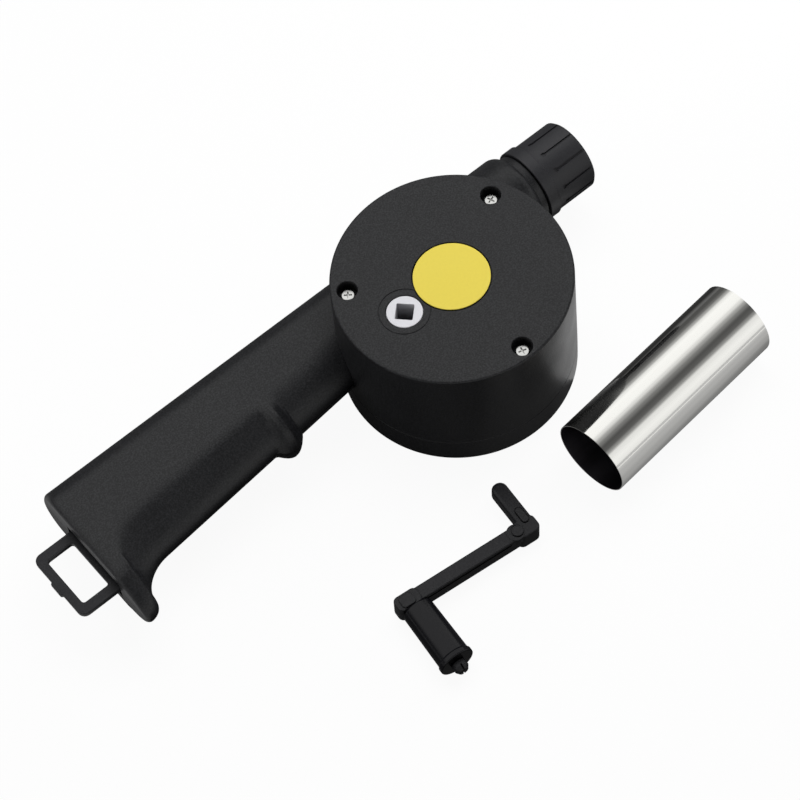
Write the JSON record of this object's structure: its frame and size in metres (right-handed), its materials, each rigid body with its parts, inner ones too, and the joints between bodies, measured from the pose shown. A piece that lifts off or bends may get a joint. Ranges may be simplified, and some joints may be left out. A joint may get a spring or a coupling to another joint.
{
  "type": "hand cranked barbecue blower",
  "caption": "Hand cranked barbecue blower: black drum with a hollow handle, hinged hanging loop and outlet collar; its steel air tube and its crank with a turning grip lie beside it.",
  "frame": {"origin": "on the drum's axis, at the outside face of the back cover, which is the level the blower lies on", "axes": "+Z along the drum's axis towards the crank side, +X the way the air leaves the outlet, and the handle runs along -X"},
  "size_m": [0.2934, 0.1663, 0.0633],
  "materials": {
    "black_plastic": "black moulded plastic with a fine grain",
    "collar_plastic": "black moulded plastic, a little smoother than the drum",
    "crank_plastic": "black moulded plastic, satin",
    "grip_plastic": "black moulded plastic, glossy",
    "impeller_plastic": "dark grey moulded plastic",
    "plate_plastic": "dark grey moulded plastic",
    "white_nylon": "natural white moulded nylon",
    "yellow_label": "plain yellow disc with a satin film",
    "steel_tube": "polished stainless steel",
    "steel_part": "bright zinc plated steel",
    "bronze_bush": "sintered bronze"
  },
  "bodies": {
    "housing": {"front_housing": "black_plastic", "back_cover": "black_plastic", "handle_back_shell": "black_plastic", "nozzle_collar": "collar_plastic", "gear_plate": "plate_plastic", "label_disc": "yellow_label", "cover_screw_1": "steel_part", "cover_screw_2": "steel_part", "cover_screw_3": "steel_part", "plate_screw_1": "steel_part", "plate_screw_2": "steel_part", "plate_screw_3": "steel_part", "handle_screw_1": "steel_part", "handle_screw_2": "steel_part", "rear_shaft_bush": "bronze_bush", "front_shaft_bush": "bronze_bush", "thrust_washer": "steel_part", "intermediate_pin": "steel_part"},
    "impeller_assembly": {"impeller": "impeller_plastic", "impeller_shaft": "steel_part", "impeller_pinion": "white_nylon"},
    "intermediate": {"intermediate_gear": "white_nylon"},
    "drive": {"drive_gear": "white_nylon"},
    "loop": {"hanging_loop": "black_plastic"},
    "tube": {"outlet_tube": "steel_tube"},
    "crank": {"crank_arm": "crank_plastic", "grip_pin": "crank_plastic"},
    "grip": {"crank_grip": "grip_plastic"}
  },
  "joints": [
    {"name": "impeller_spin", "type": "hinge", "parent": "housing", "child": "impeller_assembly", "pos_m": [0, 0, 0.035], "axis": [0, 0, 1], "continuous": true},
    {"name": "intermediate_spin", "type": "hinge", "parent": "housing", "child": "intermediate", "pos_m": [-0.00984, -0.01649, 0.046], "axis": [0, 0, 1], "continuous": true},
    {"name": "drive_gear_spin", "type": "hinge", "parent": "housing", "child": "drive", "pos_m": [-0.025, 0, 0.052], "axis": [0, 0, 1], "continuous": true},
    {"name": "loop_hinge", "type": "hinge", "parent": "housing", "child": "loop", "pos_m": [-0.1775, 0.0134, 0.025], "axis": [0, 1, 0], "range_deg": [-45, 45]},
    {"name": "tube_lift", "type": "slide", "parent": "housing", "child": "tube", "axis": [0, 0, 1], "range_m": [0, 0.1]},
    {"name": "crank_lift", "type": "slide", "parent": "housing", "child": "crank", "axis": [0, 0, 1], "range_m": [0, 0.1]},
    {"name": "grip_spin", "type": "hinge", "parent": "crank", "child": "grip", "pos_m": [-0.09168, -0.07818, 0.0076], "axis": [-0.1045, -0.9945, 0], "continuous": true}
  ],
  "couplings": [
    {"joint": "intermediate_spin", "follows": "impeller_spin", "ratio": -0.33333},
    {"joint": "drive_gear_spin", "follows": "impeller_spin", "ratio": 0.090909}
  ]
}
